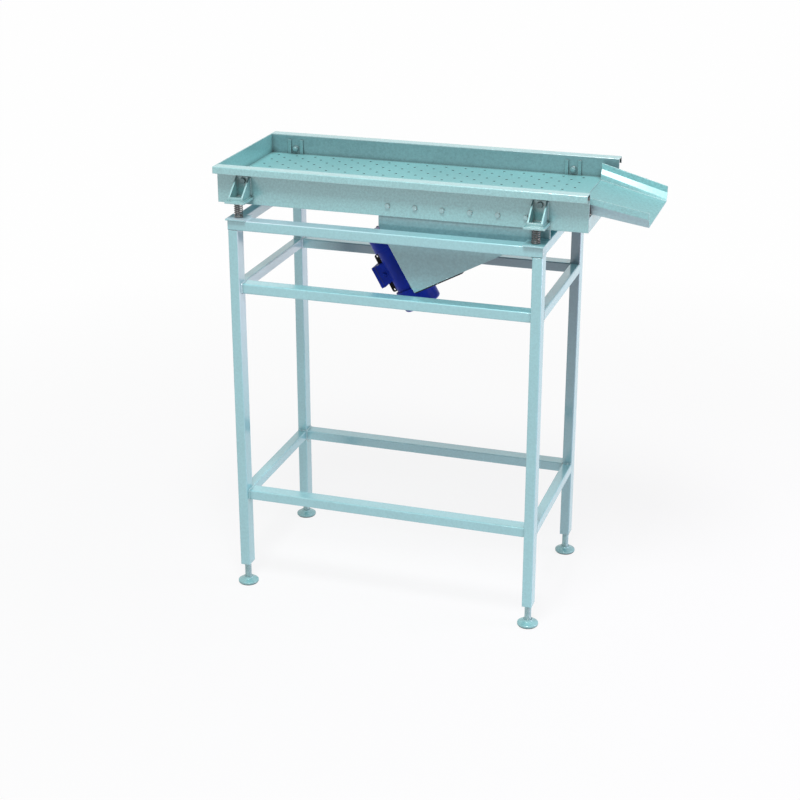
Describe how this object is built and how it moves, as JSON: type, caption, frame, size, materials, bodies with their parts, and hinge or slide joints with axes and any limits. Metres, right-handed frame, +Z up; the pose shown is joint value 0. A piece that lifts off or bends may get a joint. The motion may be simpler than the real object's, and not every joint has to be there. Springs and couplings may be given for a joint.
{
  "type": "vibratory tray feeder",
  "caption": "Vibratory tray feeder: perforated spring-borne tray with discharge chute on a welded tube stand, shaken by an unbalance motor on a slanted plate.",
  "frame": {"origin": "floor level under the middle of the whole length and width", "axes": "+X along the feed to the chute outlet, -Y the front side, +Z up"},
  "size_m": [1.663, 0.764, 1.759],
  "materials": {
    "stand_paint": "satin pale turquoise metallic paint",
    "foot_paint": "satin pale turquoise metallic paint",
    "plug_steel": "satin paint over welded plate",
    "spring_steel": "black coated spring wire",
    "tray_paint": "satin pale turquoise metallic paint",
    "deck_paint": "satin turquoise metallic paint",
    "bolt_paint": "painted over with the tray",
    "plated_steel": "zinc plated",
    "motor_paint": "gloss deep blue paint",
    "lug_black": "black paint over cast iron",
    "ground_steel": "ground",
    "laminations": "stacked sheet with varnish",
    "weight_iron": "machined",
    "chute_paint": "satin pale turquoise metallic paint"
  },
  "bodies": {
    "stand": {"coil_springs": "spring_steel", "leg_end_plugs": "plug_steel", "leg_front_left": "stand_paint", "leg_front_right": "stand_paint", "leg_rear_left": "stand_paint", "leg_rear_right": "stand_paint", "lower_rail_front": "stand_paint", "lower_rail_left": "stand_paint", "lower_rail_rear": "stand_paint", "lower_rail_right": "stand_paint", "middle_rail_front": "stand_paint", "middle_rail_left": "stand_paint", "middle_rail_rear": "stand_paint", "middle_rail_right": "stand_paint", "rail_end_caps": "plug_steel", "spring_seats": "stand_paint", "upper_rail_front": "stand_paint", "upper_rail_left": "stand_paint", "upper_rail_rear": "stand_paint", "upper_rail_right": "stand_paint"},
    "tray": {"bearing_flange_lower": "motor_paint", "bearing_flange_upper": "motor_paint", "bracket_bolts": "bolt_paint", "bracket_strips": "tray_paint", "cable_gland": "motor_paint", "cheek_bolts": "bolt_paint", "cheek_ties": "tray_paint", "console_lower_plate": "tray_paint", "deck_bearers": "tray_paint", "discharge_chute": "chute_paint", "end_cover_lower": "motor_paint", "end_cover_upper": "motor_paint", "end_wall": "tray_paint", "lifting_lugs": "lug_black", "motor_bearings": "ground_steel", "motor_bolts": "plated_steel", "motor_cheek_front": "tray_paint", "motor_cheek_rear": "tray_paint", "motor_housing": "motor_paint", "motor_plate": "tray_paint", "outlet_end_plate": "tray_paint", "perforated_deck": "deck_paint", "side_wall_front": "tray_paint", "side_wall_rear": "tray_paint", "spring_bracket_front_left": "tray_paint", "spring_bracket_front_right": "tray_paint", "spring_bracket_rear_left": "tray_paint", "spring_bracket_rear_right": "tray_paint", "stator": "laminations", "terminal_box": "motor_paint", "terminal_box_lid": "motor_paint"},
    "rotor": {"rotor_shaft": "ground_steel", "eccentric_weights": "weight_iron"},
    "foot_front_left": {"levelling_foot_front_left": "foot_paint"},
    "foot_front_right": {"levelling_foot_front_right": "foot_paint"},
    "foot_rear_left": {"levelling_foot_rear_left": "foot_paint"},
    "foot_rear_right": {"levelling_foot_rear_right": "foot_paint"}
  },
  "joints": [
    {"name": "tray_throw", "type": "slide", "parent": "stand", "child": "tray", "axis": [0.8704, 0, 0.4924], "range_m": [-0.004, 0.004], "stiffness_N_per_m": 150000, "springref_m": 0.00434, "deforming": ["coil_springs"]},
    {"name": "rotor_spin", "type": "hinge", "parent": "tray", "child": "rotor", "pos_m": [-0.16989, 0, 1.33447], "axis": [0.4924, 0, -0.8704], "continuous": true},
    {"name": "foot_front_left_screw", "type": "slide", "parent": "stand", "child": "foot_front_left", "axis": [0, 0, 1], "range_m": [-0.03, 0.04]},
    {"name": "foot_front_right_screw", "type": "slide", "parent": "stand", "child": "foot_front_right", "axis": [0, 0, 1], "range_m": [-0.03, 0.04]},
    {"name": "foot_rear_left_screw", "type": "slide", "parent": "stand", "child": "foot_rear_left", "axis": [0, 0, 1], "range_m": [-0.03, 0.04]},
    {"name": "foot_rear_right_screw", "type": "slide", "parent": "stand", "child": "foot_rear_right", "axis": [0, 0, 1], "range_m": [-0.03, 0.04]}
  ]
}
